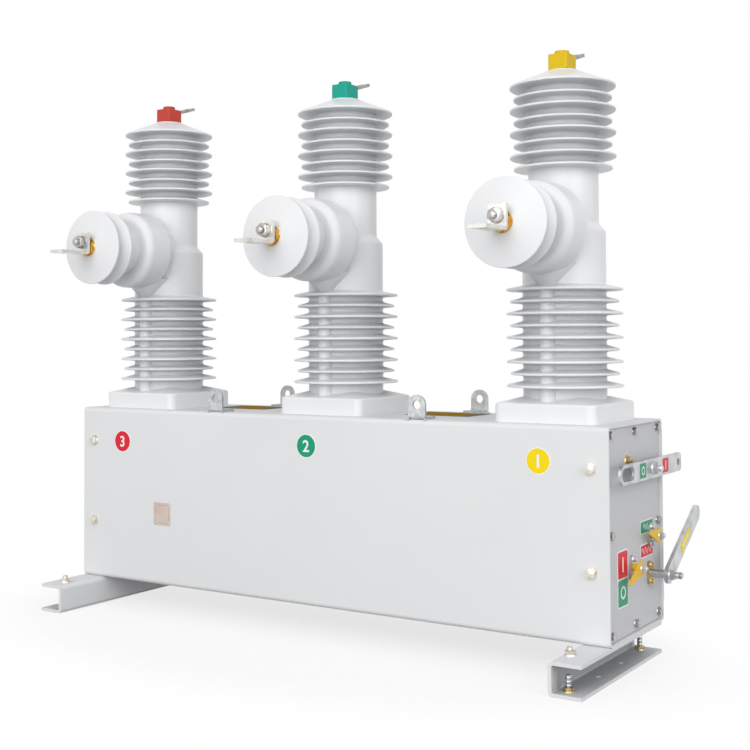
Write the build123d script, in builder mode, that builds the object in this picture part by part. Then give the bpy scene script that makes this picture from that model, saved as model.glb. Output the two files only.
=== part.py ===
from build123d import *
import os

# Outdoor vacuum circuit breaker: three moulded poles on a folded steel tank with channel feet.
# Origin: on the underside of the feet, midway between their four free bolt holes.
# +X runs to the mechanism end, -Y to the side terminals, +Z up. Millimetres and degrees.

# Shared by every piece
overrun = 1.0  # how far a cut runs past the face that it opens
pin_clearance = 0.3  # on the radius, between a turning shaft and its bore
corner_match = 0.01  # how near a corner, edge or face lies to the place that made it
round_end_land = 0.6  # flat left in the middle of a rounded strip end

# Foot channels, with their open sides facing outwards
foot_height = 45.0
foot_width = 46.0
foot_wall = 5.0
foot_bend_radius = 7.0
foot_length = 285.0
foot_hole_radius = 5.5
foot_hole_spacing = 80.0
foot_hole_setback = 18.0  # from the free edge of the flange

# Tank of folded sheet, open at both ends, with a seat inside each end for its plate
tank_end_margin = 106.0  # from the axis of an outer pole to the tank's end
tank_depth = 200.0
tank_height = 290.0
tank_wall = 3.0
tank_bend_radius = 7.0
tank_rear_overhang = 10.0  # past the rear ends of the feet
end_plate_recess = 4.0
end_plate_thickness = 3.0
end_plate_gap = 1.0  # between the plate's rim and the tank wall
seat_width = 24.0

# Rear access cover, a shallow pan over an opening in the rear wall
cover_end_margin = 4.0
cover_bottom_margin = 18.0
cover_top_margin = 11.0
cover_depth = 16.0
cover_wall = 2.0
cover_corner_radius = 9.0
cover_edge_radius = 4.0
cover_lap = 26.0  # how far the pan overlaps the wall round the opening

# Poles: heights are above the tank top, reaches are from the pole axis towards -Y
phase_spacing = 380.0
plinth_size = 154.0
plinth_corner_radius = 12.0
plinth_side_height = 26.0
plinth_crown_size = 84.0
plinth_crown_height = 10.0
plinth_edge_radius = 4.0
lower_body_radius = 59.5
upper_body_radius = 50.0
body_step_drop = 0.5  # below the bushing's axis
body_step_rise = 11.0
body_step_radius = 7.0
lower_shed_height = 49.3  # tip of the lowest shed
lower_shed_pitch = 17.15
lower_large_shed_radius = 83.0
lower_small_shed_radius = 77.5
lower_shed_clearance = 12.0  # least height from the top shed's tip to the boss
upper_shed_count = 8
upper_shed_rise = 26.0  # tip of the lowest shed, over the boss
upper_shed_pitch = 16.85
upper_large_shed_radius = 76.0
upper_small_shed_radius = 70.6
shed_tip_thickness = 3.2
shed_top_slope = 5.0  # how far the upper face rises from tip to root
shed_under_slope = 1.6
shed_tip_round_share = 0.42  # of the tip's thickness, as the radius of its edges
shed_root_round_share = 0.35  # of the bare body between two sheds, as the radius at their roots
crown_rise = 23.55  # over the tip of the top shed
crown_radius = 24.0
crown_neck = 0.8

# Horizontal bushing round the current transformer, on each pole
bushing_height = 270.0
boss_radius = 64.0
boss_reach = 116.0
boss_back_reach = 65.0  # its rear rim
boss_shoulder_radius = 13.0
boss_back_radius = 5.0
boss_root_size = 46.0  # its radius inside the pole's body
boss_root_reach = 48.0  # where its back starts to open out
boss_root_fillet = 5.0  # where it runs into the pole's body
bushing_neck_radius = 42.0
bushing_lip_radius = 60.5
rear_lip_reach = 157.0
front_lip_reach = 186.0
lip_thickness = 3.2
lip_back_slope = 5.0
lip_front_slope = 17.0
lip_root_radius = 3.0
face_cone_rise = 7.0
face_flat_radius = 16.0

# Rib for the transformer leads, down the front of each pole
rib_radius = 12.5
rib_projection = 8.0  # past the lower body
gusset_radius = 40.0  # where it has run into the boss
gusset_drop = 16.0  # below the boss
gusset_bite = 16.0  # up into the boss

# Top terminal and its coloured phase cap
top_stud_radius = 10.0
top_stud_height = 15.0
top_plate_width = 22.0
top_plate_thickness = 5.0
top_plate_front = 12.0  # in front of the pole axis
top_plate_bend = 8.0  # behind the pole axis
top_plate_tail = 51.0
top_plate_angle = 18.0
top_hole_radius = 5.5
top_hole_setback = 11.0  # from the plate's tip
cap_width = 30.0
cap_depth = 34.0
cap_skirt = 18.5  # below the terminal plate's top
cap_roof = 4.0
cap_wall = 2.5
cap_corner_radius = 3.0
cap_slot_clearance = 0.6
cap_button_radius = 10.5
cap_button_height = 5.5
cap_edge_radius = 1.2

# Side terminal: brass stud in the bushing face and a tinned angle bolted to it
side_stud_radius = 11.0
side_stud_length = 10.0
angle_width = 27.0
angle_thickness = 5.0
angle_drop = 13.0  # underside of the flat leg, below the stud axis
angle_height = 35.0
angle_reach = 60.0
angle_bend_radius = 6.0
angle_hole_radius = 5.5
angle_hole_setback = 18.0  # from the tip of the flat leg

# Lifting lugs, bent from strip, two in each gap between poles
lug_width = 29.0
lug_height = 36.0
lug_thickness = 4.0
lug_hole_radius = 6.5
lug_foot_reach = 30.0
lug_inset = 2.0  # from the tank's front or rear face
lug_bend_radius = 5.5

# Mechanism end: setbacks are from the tank's front face, rises are above the tank's underside,
# and stand-offs are from the outer face of the end plate
shaft_inside = 16.0  # how far every shaft runs on into the tank
flange_height = 34.0
flange_width = 17.0
flange_thickness = 4.0

lever_setback = 124.0
lever_drop = 64.0  # below the tank's top
lever_shaft_radius = 8.0
lever_stand_off = 16.0
lever_thickness = 4.0
lever_height = 27.0
lever_front_reach = 122.0
lever_rear_reach = 112.0
lever_corner_radius = 7.0
lever_eye_length = 44.0
lever_eye_height = 18.0
lever_eye_wall = 5.0
lever_hole_radius = 5.5
lever_hole_setback = 13.0  # from the rear end

handle_setback = 152.0
handle_rise = 75.0
handle_shaft_radius = 6.0
handle_stand_off = 26.5
handle_thickness = 5.0
handle_width = 25.0
handle_length = 138.0  # from the shaft to the centre of the rounded tip
handle_rest_angle = 31.0  # above the horizontal, leaning to the rear

pointer_shaft_radius = 5.0
pointer_stand_off = 13.0
pointer_thickness = 3.0
pointer_hub_radius = 10.0
pointer_tip_radius = 2.0

position_setback = 85.0
position_rise = 93.0
position_length = 45.0
position_rest_angle = 200.0  # pointing forwards and down, at the lower mark

spring_setback = 155.0
spring_rise = 128.0
spring_length = 37.0
spring_rest_angle = 168.0  # pointing forwards and up, at the upper mark

# Worked-out places
tank_length = 2 * (phase_spacing + tank_end_margin)
tank_bottom_z = foot_height
tank_top_z = tank_bottom_z + tank_height
tank_mid_z = tank_bottom_z + tank_height / 2
tank_rear_y = foot_length / 2 + tank_rear_overhang
tank_y = tank_rear_y - tank_depth / 2
tank_front_y = tank_rear_y - tank_depth
tank_end_x = tank_length / 2
plate_face_x = tank_end_x - end_plate_recess
plate_seat_x = plate_face_x - end_plate_thickness
inner_depth = tank_depth - 2 * tank_wall
inner_height = tank_height - 2 * tank_wall
inner_bend_radius = tank_bend_radius - tank_wall
foot_hole_x = tank_end_x - foot_hole_setback
lever_rise = tank_height - lever_drop
phases = {"left": -phase_spacing, "middle": 0, "right": phase_spacing}

os.makedirs("parts", exist_ok=True)


def save(piece, name):
    """Label a finished piece and write it under that name."""
    piece.part.label = name
    export_step(piece.part, f"parts/{name}.step")


def end_plane(x):
    """The tank's cross-section at x: local x is +Y, local y is +Z, centred on the tank."""
    return Plane((x, tank_y, tank_mid_z), x_dir=(0, 1, 0), z_dir=(1, 0, 0))


def mechanism_plane(setback, rise, stand_off):
    """A plane parallel to the end plate, centred on one of its shafts."""
    origin = (plate_face_x + stand_off, tank_front_y + setback, tank_bottom_z + rise)
    return Plane(origin, x_dir=(0, 1, 0), z_dir=(1, 0, 0))


def pole_plane(x, height, z_dir, x_dir):
    """A plane on a pole's axis, at a height above the tank top."""
    return Plane((x, tank_y, tank_top_z + height), x_dir=x_dir, z_dir=z_dir)


def flat_plane(x, height):
    """A level plane on a pole's axis."""
    return pole_plane(x, height, (0, 0, 1), (1, 0, 0))


def side_plane(x, height=0):
    """The upright plane through a pole's axis along its bushing: local x is +Y, local y is +Z."""
    return pole_plane(x, height, (1, 0, 0), (0, 1, 0))


# Foot channels
with BuildPart() as right_foot_channel:
    with BuildSketch(Plane.XZ.offset(-foot_length / 2)):
        with BuildLine():
            FilletPolyline(
                (tank_end_x, 0),
                (tank_end_x - foot_width, 0),
                (tank_end_x - foot_width, foot_height),
                (tank_end_x, foot_height),
                radius=foot_bend_radius,
            )
            offset(amount=foot_wall, side=Side.RIGHT)
        make_face()
    extrude(amount=foot_length)
    with BuildSketch(Plane.XY.offset(-overrun)):
        with Locations((foot_hole_x, -foot_hole_spacing / 2), (foot_hole_x, foot_hole_spacing / 2)):
            Circle(foot_hole_radius)
    extrude(amount=foot_wall + 2 * overrun, mode=Mode.SUBTRACT)
save(right_foot_channel, "right_foot_channel")

with BuildPart() as left_foot_channel:
    mirror(right_foot_channel.part, about=Plane.YZ)
save(left_foot_channel, "left_foot_channel")

# Tank
cover_length = tank_length - 2 * cover_end_margin
cover_height = tank_height - cover_bottom_margin - cover_top_margin
cover_z = tank_bottom_z + cover_bottom_margin + cover_height / 2
rear_plane = Plane((0, tank_rear_y, cover_z), x_dir=(1, 0, 0), z_dir=(0, 1, 0))

with BuildPart() as tank_shell:
    with BuildSketch(end_plane(-tank_end_x)):
        RectangleRounded(tank_depth, tank_height, tank_bend_radius)
        RectangleRounded(inner_depth, inner_height, inner_bend_radius, mode=Mode.SUBTRACT)
    extrude(amount=tank_length)
    for seat_x in (-plate_seat_x, plate_seat_x - tank_wall):
        with BuildSketch(end_plane(seat_x)):
            RectangleRounded(inner_depth, inner_height, inner_bend_radius)
            Rectangle(
                inner_depth - 2 * seat_width,
                inner_height - 2 * seat_width,
                mode=Mode.SUBTRACT,
            )
        extrude(amount=tank_wall)
    with BuildSketch(rear_plane.offset(overrun)):
        RectangleRounded(
            cover_length - 2 * cover_lap,
            cover_height - 2 * cover_lap,
            cover_corner_radius,
        )
    extrude(amount=-tank_wall - 2 * overrun, mode=Mode.SUBTRACT)
save(tank_shell, "tank_shell")

with BuildPart() as rear_cover:
    with BuildSketch(rear_plane):
        RectangleRounded(cover_length, cover_height, cover_corner_radius)
    extrude(amount=cover_depth)
    fillet(faces().sort_by(Axis.Y)[-1].edges(), cover_edge_radius)
    with BuildSketch(rear_plane):
        RectangleRounded(
            cover_length - 2 * cover_wall,
            cover_height - 2 * cover_wall,
            cover_corner_radius - cover_wall,
        )
    extrude(amount=cover_depth - cover_wall, mode=Mode.SUBTRACT)
save(rear_cover, "rear_cover")

# End plates: the right one carries the bores of the mechanism's shafts
shaft_bores = (
    (lever_setback, lever_rise, lever_shaft_radius),
    (handle_setback, handle_rise, handle_shaft_radius),
    (position_setback, position_rise, pointer_shaft_radius),
    (spring_setback, spring_rise, pointer_shaft_radius),
)

with BuildPart() as left_end_plate:
    with BuildSketch(end_plane(-plate_face_x)):
        RectangleRounded(
            inner_depth - 2 * end_plate_gap,
            inner_height - 2 * end_plate_gap,
            inner_bend_radius,
        )
    extrude(amount=end_plate_thickness)
save(left_end_plate, "left_end_plate")

with BuildPart() as right_end_plate:
    mirror(left_end_plate.part, about=Plane.YZ)
    for setback, rise, radius in shaft_bores:
        with BuildSketch(mechanism_plane(setback, rise, overrun)):
            Circle(radius + pin_clearance)
        extrude(amount=-end_plate_thickness - 2 * overrun, mode=Mode.SUBTRACT)
save(right_end_plate, "right_end_plate")


# Poles
def shed_points(body_radius, tip_radius, tip_height, pitch):
    """One shed's corners, from its root below to its root above: radius, height and rounding."""
    half_tip = shed_tip_thickness / 2
    bare_body = pitch - shed_tip_thickness - shed_top_slope - shed_under_slope
    tip_round = shed_tip_thickness * shed_tip_round_share
    root_round = bare_body * shed_root_round_share
    return [
        (body_radius, tip_height - half_tip - shed_under_slope, root_round),
        (tip_radius, tip_height - half_tip, tip_round),
        (tip_radius, tip_height + half_tip, tip_round),
        (body_radius, tip_height + half_tip + shed_top_slope, root_round),
    ]


def pole_outline():
    """The turned outline of a pole, from the axis at its foot to the crown: radius, height and rounding."""
    outline = [(0, 0, 0), (lower_body_radius, 0, 0)]
    for i in range(lower_shed_count):
        tip_radius = lower_small_shed_radius if i % 2 else lower_large_shed_radius
        tip_height = lower_shed_height + i * lower_shed_pitch
        outline += shed_points(lower_body_radius, tip_radius, tip_height, lower_shed_pitch)
    outline.append((lower_body_radius, body_step_height, body_step_radius))
    outline.append((upper_body_radius, body_step_height + body_step_rise, body_step_radius))
    for i in range(upper_shed_count):
        tip_radius = upper_large_shed_radius if i % 2 else upper_small_shed_radius
        tip_height = upper_shed_height + i * upper_shed_pitch
        outline += shed_points(upper_body_radius, tip_radius, tip_height, upper_shed_pitch)
    outline.pop()  # the top shed's upper face runs on up to the crown as one cone
    outline.append((crown_radius, crown_height - crown_neck, 0))
    outline.append((crown_radius, crown_height, 0))
    outline.append((0, crown_height, 0))
    return outline


def lip_points(reach):
    """One lip of the bushing, from its root behind to its root in front: place, radius and rounding."""
    back = -reach + lip_thickness
    tip_round = lip_thickness * shed_tip_round_share
    return [
        (back + lip_back_slope, bushing_neck_radius, lip_root_radius),
        (back, bushing_lip_radius, tip_round),
        (-reach, bushing_lip_radius, tip_round),
        (-reach - lip_front_slope, bushing_neck_radius, 0),
    ]


def bushing_outline():
    """The turned outline of a bushing, from the pole's axis out to its face: place, radius and rounding."""
    return [
        (0, 0, 0),
        (0, boss_root_size, 0),
        (-boss_root_reach, boss_root_size, 0),
        (-boss_back_reach, boss_radius, boss_back_radius),
        (-boss_reach, boss_radius, boss_shoulder_radius),
        (-boss_reach, bushing_neck_radius, 0),
        *lip_points(rear_lip_reach),
        *lip_points(front_lip_reach)[:-1],
        (-face_reach, face_flat_radius, 0),
        (-face_reach, 0, 0),
    ]


def draw_rounded(outline):
    """Fill an outline in the open sketch, each corner rounded by its point's third number."""
    with BuildLine() as path:
        Polyline(*[(x, y) for x, y, rounding in outline], close=True)
    make_face(path.edges())
    for radius in sorted({rounding for x, y, rounding in outline} - {0}):
        corners = [Vector(x, y) for x, y, rounding in outline if rounding == radius]
        spots = {v: Vector(v.X, v.Y) for v in vertices()}
        chosen = [v for v, spot in spots.items() if min((spot - c).length for c in corners) < corner_match]
        fillet(chosen, radius)


face_reach = front_lip_reach + face_cone_rise
boss_underside = bushing_height - boss_radius
body_step_height = bushing_height - body_step_drop
lower_shed_room = boss_underside - lower_shed_clearance - lower_shed_height
lower_shed_count = int(lower_shed_room // lower_shed_pitch) + 1
upper_shed_height = bushing_height + boss_radius + upper_shed_rise
crown_height = upper_shed_height + (upper_shed_count - 1) * upper_shed_pitch + crown_rise
rib_reach = lower_body_radius + rib_projection - rib_radius

for phase, pole_x in phases.items():
    upright = pole_plane(pole_x, 0, (0, -1, 0), (1, 0, 0))
    along_bushing = side_plane(pole_x, bushing_height)
    with BuildPart() as pole:
        with BuildSketch(upright):
            draw_rounded(pole_outline())
        revolve(axis=Axis(upright.origin, (0, 0, 1)))
        with BuildSketch(along_bushing):
            draw_rounded(bushing_outline())
        revolve(axis=Axis(along_bushing.origin, (0, 1, 0)))
        fillet(edges(Select.LAST).filter_by(GeomType.BSPLINE), boss_root_fillet)
        with BuildSketch(flat_plane(pole_x, 0)):
            RectangleRounded(plinth_size, plinth_size, plinth_corner_radius)
        extrude(amount=plinth_side_height)
        with BuildSketch(flat_plane(pole_x, plinth_side_height)):
            RectangleRounded(plinth_size, plinth_size, plinth_corner_radius)
        with BuildSketch(flat_plane(pole_x, plinth_side_height + plinth_crown_height)):
            RectangleRounded(plinth_crown_size, plinth_crown_size, plinth_corner_radius)
        loft()
        rim_z = tank_top_z + plinth_side_height
        fillet(edges().filter_by_position(Axis.Z, rim_z - corner_match, rim_z + corner_match), plinth_edge_radius)
        with BuildSketch(flat_plane(pole_x, 0)):
            with Locations((0, -rib_reach)):
                Circle(rib_radius)
        extrude(amount=bushing_height)
        with BuildSketch(flat_plane(pole_x, boss_underside - gusset_drop)):
            with Locations((0, -rib_reach)):
                Circle(rib_radius)
        with BuildSketch(flat_plane(pole_x, boss_underside + gusset_bite)):
            with Locations((0, -rib_reach)):
                Circle(gusset_radius)
        loft()
    save(pole, f"{phase}_pole")

# Top terminals: a stud on the crown and a plate whose tail is bent up to the rear
plate_underside = crown_height + top_stud_height
plate_top = plate_underside + top_plate_thickness


def top_plate_path():
    """The underside of the plate, seen from the side: flat over the stud, then the raised tail."""
    Polyline((-top_plate_front, plate_underside), (top_plate_bend, plate_underside))
    PolarLine((top_plate_bend, plate_underside), top_plate_tail, top_plate_angle)


for phase, pole_x in phases.items():
    side = side_plane(pole_x)
    bend = side.from_local_coords((top_plate_bend, plate_underside, 0))
    tail = Plane(bend, x_dir=(1, 0, 0), z_dir=(0, 0, 1)).rotated((top_plate_angle, 0, 0))
    with BuildPart() as top_terminal:
        with BuildSketch(flat_plane(pole_x, crown_height)):
            Circle(top_stud_radius)
        extrude(amount=top_stud_height)
        with BuildSketch(side):
            with BuildLine():
                top_plate_path()
                offset(amount=top_plate_thickness, side=Side.LEFT)
            make_face()
        extrude(amount=top_plate_width / 2, both=True)
        with BuildSketch(tail.offset(-overrun)):
            with Locations((0, top_plate_tail - top_hole_setback)):
                Circle(top_hole_radius)
        extrude(amount=top_plate_thickness + 2 * overrun, mode=Mode.SUBTRACT)
    save(top_terminal, f"{phase}_top_terminal")

    # The cap sits on the plate, and its skirt hangs clear of the crown
    with BuildPart() as phase_cap:
        with BuildSketch(flat_plane(pole_x, plate_top - cap_skirt)):
            RectangleRounded(cap_width, cap_depth, cap_corner_radius)
        extrude(amount=cap_skirt + cap_roof)
        with BuildSketch(flat_plane(pole_x, plate_top + cap_roof)):
            Circle(cap_button_radius)
        extrude(amount=cap_button_height)
        fillet(edges().group_by(Axis.Z)[-1], cap_edge_radius)
        roof_z = tank_top_z + plate_top + cap_roof
        roof = faces().filter_by_position(Axis.Z, roof_z - corner_match, roof_z + corner_match)[0]
        fillet(roof.outer_wire().edges(), cap_edge_radius)
        with BuildSketch(flat_plane(pole_x, plate_top - cap_skirt - overrun)):
            Rectangle(cap_width - 2 * cap_wall, cap_depth - 2 * cap_wall)
        extrude(amount=cap_skirt + overrun, mode=Mode.SUBTRACT)
        with BuildSketch(side):
            with BuildLine():
                top_plate_path()
                offset(amount=top_plate_thickness, side=Side.LEFT)
            make_face()
            offset(amount=cap_slot_clearance)
            with Locations((0, plate_top)):
                Rectangle(cap_depth, cap_roof, align=(Align.MAX, Align.MIN), mode=Mode.SUBTRACT)
        extrude(amount=top_plate_width / 2 + cap_slot_clearance, both=True, mode=Mode.SUBTRACT)
    save(phase_cap, f"{phase}_phase_cap")

# Side terminals: a brass stud on the bushing face, and a tinned angle on the stud
for phase, pole_x in phases.items():
    across_bushing = pole_plane(pole_x, bushing_height, (0, -1, 0), (1, 0, 0))
    with BuildPart() as side_stud:
        with BuildSketch(across_bushing.offset(face_reach)):
            Circle(side_stud_radius)
        extrude(amount=side_stud_length)
    save(side_stud, f"{phase}_side_stud")

    angle_back = -face_reach - side_stud_length
    with BuildPart() as side_terminal:
        with BuildSketch(side_plane(pole_x, bushing_height)):
            with BuildLine():
                FilletPolyline(
                    (angle_back, angle_height - angle_drop),
                    (angle_back, -angle_drop),
                    (angle_back - angle_reach, -angle_drop),
                    radius=angle_bend_radius,
                )
                offset(amount=angle_thickness, side=Side.RIGHT)
            make_face()
        extrude(amount=angle_width / 2, both=True)
        with BuildSketch(flat_plane(pole_x, bushing_height - angle_drop - overrun)):
            with Locations((0, angle_back - angle_reach + angle_hole_setback)):
                Circle(angle_hole_radius)
        extrude(amount=angle_thickness + 2 * overrun, mode=Mode.SUBTRACT)
    save(side_terminal, f"{phase}_side_terminal")

# Lifting lugs: an upright tab at the tank's edge, its foot turned inwards along the top
lug_places = {
    "left_front_lug": (-phase_spacing / 2, tank_front_y + lug_inset, 1),
    "left_rear_lug": (-phase_spacing / 2, tank_rear_y - lug_inset, -1),
    "right_front_lug": (phase_spacing / 2, tank_front_y + lug_inset, 1),
    "right_rear_lug": (phase_spacing / 2, tank_rear_y - lug_inset, -1),
}
lug_hole_height = lug_height - lug_width / 2

for lug_name, (lug_x, lug_y, inward) in lug_places.items():
    with BuildPart() as lug:
        across_lug = Plane((lug_x, lug_y, tank_top_z), x_dir=(0, inward, 0), z_dir=(inward, 0, 0))
        with BuildSketch(across_lug):
            with BuildLine():
                FilletPolyline((0, lug_height), (0, 0), (lug_foot_reach, 0), radius=lug_bend_radius)
                offset(amount=lug_thickness, side=Side.LEFT)
            make_face()
        extrude(amount=lug_width / 2, both=True)
        fillet(edges().filter_by(Axis.Y).group_by(Axis.Z)[-1], (lug_width - round_end_land) / 2)
        tab_face = Plane((lug_x, lug_y, tank_top_z), x_dir=(inward, 0, 0), z_dir=(0, -inward, 0))
        with BuildSketch(tab_face.offset(overrun)):
            with Locations((0, lug_hole_height)):
                Circle(lug_hole_radius)
        extrude(amount=-lug_thickness - 2 * overrun, mode=Mode.SUBTRACT)
    save(lug, lug_name)


# Mechanism end
def shaft(setback, rise, radius, end):
    """A shaft from inside the tank out to a stand-off from the end plate."""
    with BuildSketch(mechanism_plane(setback, rise, -shaft_inside)) as section:
        Circle(radius)
    extrude(section.sketch, amount=shaft_inside + end)


with BuildPart() as lever_shaft:
    shaft(lever_setback, lever_rise, lever_shaft_radius, lever_stand_off)
save(lever_shaft, "lever_shaft")

with BuildPart() as operating_lever:
    with BuildSketch(mechanism_plane(lever_setback, lever_rise, lever_stand_off)):
        with Locations((-lever_front_reach, 0)):
            Rectangle(
                lever_front_reach + lever_rear_reach,
                lever_height,
                align=(Align.MIN, Align.CENTER),
            )
        fillet(vertices().group_by(Axis.X)[0], (lever_height - round_end_land) / 2)
        fillet(vertices().group_by(Axis.X)[-1], lever_corner_radius)
        with Locations((-lever_front_reach + lever_eye_wall + lever_eye_length / 2, 0)):
            SlotOverall(lever_eye_length, lever_eye_height, mode=Mode.SUBTRACT)
        with Locations((lever_rear_reach - lever_hole_setback, 0)):
            Circle(lever_hole_radius, mode=Mode.SUBTRACT)
    extrude(amount=lever_thickness)
save(operating_lever, "operating_lever")

flanges = {
    "handle_bearing": (handle_setback, handle_rise, handle_shaft_radius),
    "position_bearing": (position_setback, position_rise, pointer_shaft_radius),
    "spring_bearing": (spring_setback, spring_rise, pointer_shaft_radius),
}

for flange_name, (setback, rise, radius) in flanges.items():
    with BuildPart() as bearing:
        with BuildSketch(mechanism_plane(setback, rise, 0)):
            SlotOverall(flange_height, flange_width, rotation=90)
            Circle(radius + pin_clearance, mode=Mode.SUBTRACT)
        extrude(amount=flange_thickness)
    save(bearing, flange_name)

with BuildPart() as handle_shaft:
    shaft(handle_setback, handle_rise, handle_shaft_radius, handle_stand_off)
save(handle_shaft, "handle_shaft")

with BuildPart() as charging_handle:
    with BuildSketch(mechanism_plane(handle_setback, handle_rise, handle_stand_off)):
        with PolarLocations(handle_length / 2, 1, start_angle=handle_rest_angle):
            SlotCenterToCenter(handle_length, handle_width)
    extrude(amount=handle_thickness)
save(charging_handle, "charging_handle")

pointers = {
    "position_pointer": (position_setback, position_rise, position_length, position_rest_angle),
    "spring_pointer": (spring_setback, spring_rise, spring_length, spring_rest_angle),
}

for pointer_name, (setback, rise, length, rest_angle) in pointers.items():
    with BuildPart() as pointer:
        shaft(setback, rise, pointer_shaft_radius, pointer_stand_off + pointer_thickness)
        with BuildSketch(mechanism_plane(setback, rise, pointer_stand_off)):
            Circle(pointer_hub_radius)
            with PolarLocations(length - pointer_tip_radius, 1, start_angle=rest_angle):
                Circle(pointer_tip_radius)
            make_hull()
        extrude(amount=pointer_thickness)
    save(pointer, pointer_name)
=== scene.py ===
# %% [markdown]
# # Dressing an outdoor vacuum circuit breaker
#
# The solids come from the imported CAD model: a folded steel tank on two channel feet, three moulded
# poles with side bushings, and a row of levers on the right end. They already have the right shapes
# and places. This lesson gives them real surfaces and adds what a fitter would add on the shop floor:
# bolts, studs, welds, labels and plates. Everything is in metres, in the frame of the CAD model, so a
# piece is placed by reading the box of the node that carries it.

# %% Load the frame
import math

import bmesh
import bpy
from mathutils import Matrix, Vector


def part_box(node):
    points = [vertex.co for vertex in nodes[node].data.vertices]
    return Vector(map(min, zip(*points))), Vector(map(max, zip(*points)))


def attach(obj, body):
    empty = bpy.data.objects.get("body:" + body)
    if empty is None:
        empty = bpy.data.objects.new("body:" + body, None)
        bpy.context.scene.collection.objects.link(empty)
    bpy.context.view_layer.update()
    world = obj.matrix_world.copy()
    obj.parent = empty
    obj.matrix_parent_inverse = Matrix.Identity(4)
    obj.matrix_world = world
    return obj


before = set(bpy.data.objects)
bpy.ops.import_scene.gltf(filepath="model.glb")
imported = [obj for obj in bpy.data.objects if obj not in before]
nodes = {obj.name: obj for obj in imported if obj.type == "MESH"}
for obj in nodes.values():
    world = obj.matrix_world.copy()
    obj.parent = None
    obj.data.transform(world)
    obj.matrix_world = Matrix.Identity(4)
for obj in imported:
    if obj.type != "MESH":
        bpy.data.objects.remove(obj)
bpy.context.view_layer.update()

scene = bpy.context.scene
MM = 0.001

# %% [markdown]
# ## Helpers for every tree
#
# Colours are given as sRGB hex values, but shaders work in linear light, so one function
# converts them. One more function adds a node with its settings and its links, and both the shader
# trees and the geometry trees below are written with it. A node given as an input is linked by its
# first output, and a list means several links into one socket, which the Join Geometry node takes.

# %% Helpers for colours and nodes
def linear(code):
    """A hex colour such as #C8CCD0 as linear RGBA."""
    channels = [int(code[i : i + 2], 16) / 255 for i in (1, 3, 5)]
    return (*[c / 12.92 if c <= 0.04045 else ((c + 0.055) / 1.055) ** 2.4 for c in channels], 1.0)


def add(tree, kind, inputs=None, **settings):
    """Add a node; inputs maps a socket's name or number to a value, a node, an output or a list."""
    node = tree.nodes.new(kind)
    for key, value in settings.items():
        setattr(node, key, value)
    for key, value in (inputs or {}).items():
        for source in value if isinstance(value, list) else [value]:
            if isinstance(source, bpy.types.Node):
                source = source.outputs[0]
            if isinstance(source, bpy.types.NodeSocket):
                tree.links.new(source, node.inputs[key])
            else:
                node.inputs[key].default_value = source
    return node


def blank_material(name):
    """A new material with an empty tree, and the object's own coordinates in metres."""
    material = bpy.data.materials.new(name)
    material.use_nodes = True
    tree = material.node_tree
    tree.nodes.clear()
    return material, tree, add(tree, "ShaderNodeTexCoord").outputs["Object"]


def per_metre(size_mm):
    """The scale of a pattern whose features are this many millimetres apart."""
    return 1 / (size_mm * MM)


print("helpers ready; mid grey is", [round(c, 3) for c in linear("#808080")])

# %% [markdown]
# ## Painted shade in closed corners
#
# Little light gets into the gaps between the sheds and inside the foot channels, and the shade there is
# painted into the colour as a darker grey. It could be painted on by hand, and would have to be painted
# again after each change of shape. An occlusion node finds these places by itself, because it measures
# how closed in a point is within a given reach, so one function adds the painted shade to any colour.

# %% Painted shade
SHADE_SAMPLES = 8
CLOSED_IN, OPEN = 0.25, 0.85  # shares of open air at which the painted shade is full and gone


def painted_corner_shade(tree, unshaded_tint, painted_shade_hue, reach_mm):
    """A colour with painted shade where the surface is closed in within a reach."""
    open_air = add(tree, "ShaderNodeAmbientOcclusion", {
        "Distance": reach_mm * MM,
    }, samples=SHADE_SAMPLES, only_local=True)
    unshaded_share = add(tree, "ShaderNodeMapRange", {0: open_air.outputs["AO"], 1: CLOSED_IN, 2: OPEN})
    return add(tree, "ShaderNodeMix", {0: unshaded_share, 6: linear(painted_shade_hue), 7: unshaded_tint.outputs[2]}, data_type="RGBA")


# Below, dust means the painted shade of closed corners.
print("dust is full at", CLOSED_IN, "of open air and gone at", OPEN)

# %% [markdown]
# ## Painted steel
#
# The tank, its end plates and the feet are cold-rolled steel sheet with a baked powder coat. Powder
# flows out into a fine orange peel, about 1.5 mm from bump to bump, and it lies a little thicker and
# duller in some places than in others. The real peel is too fine for the picture, so it is drawn at
# 5 mm. A slow cloud of two near colours keeps the large faces from looking like plain plastic. A satin
# coat reflects little, so its specular level is below that of a bare plastic. Only the feet are given
# painted shade, a darker grey that reaches as far as their channels are deep.

# %% Powder coat
PEEL_MM = 5
CLOUD_MM = 260
# how far the painted shade inside the foot channels reaches
CHANNEL_SHADE_MM = 70


def powder_coat(name, shade, light, roughness, painted_shade_hue=None):
    """Satin powder coat on steel sheet, between two near colours, with painted shade where a hue for it is
    given.
    """
    material, tree, place = blank_material(name)
    cloud = add(tree, "ShaderNodeTexNoise", {"Vector": place, "Scale": per_metre(CLOUD_MM), "Detail": 3.0})
    tint = add(tree, "ShaderNodeMix", {0: cloud, 6: linear(shade), 7: linear(light)}, data_type="RGBA")
    # painted shade inside the channels, where a hue for it is given
    if painted_shade_hue:
        tint = painted_corner_shade(tree, tint, painted_shade_hue, CHANNEL_SHADE_MM)
    peel = add(tree, "ShaderNodeTexNoise", {"Vector": place, "Scale": per_metre(PEEL_MM), "Detail": 1.0})
    bump = add(tree, "ShaderNodeBump", {"Strength": 0.1, "Distance": 0.4 * MM, "Height": peel})
    dull = add(tree, "ShaderNodeMapRange", {0: cloud, 3: roughness - 0.05, 4: roughness + 0.06})
    surface = add(tree, "ShaderNodeBsdfPrincipled", {
        "Base Color": tint.outputs[2],
        "Roughness": dull,
        "Normal": bump,
        "IOR": 1.5,
        "Specular IOR Level": 0.3,
    })
    add(tree, "ShaderNodeOutputMaterial", {"Surface": surface})
    return material


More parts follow.
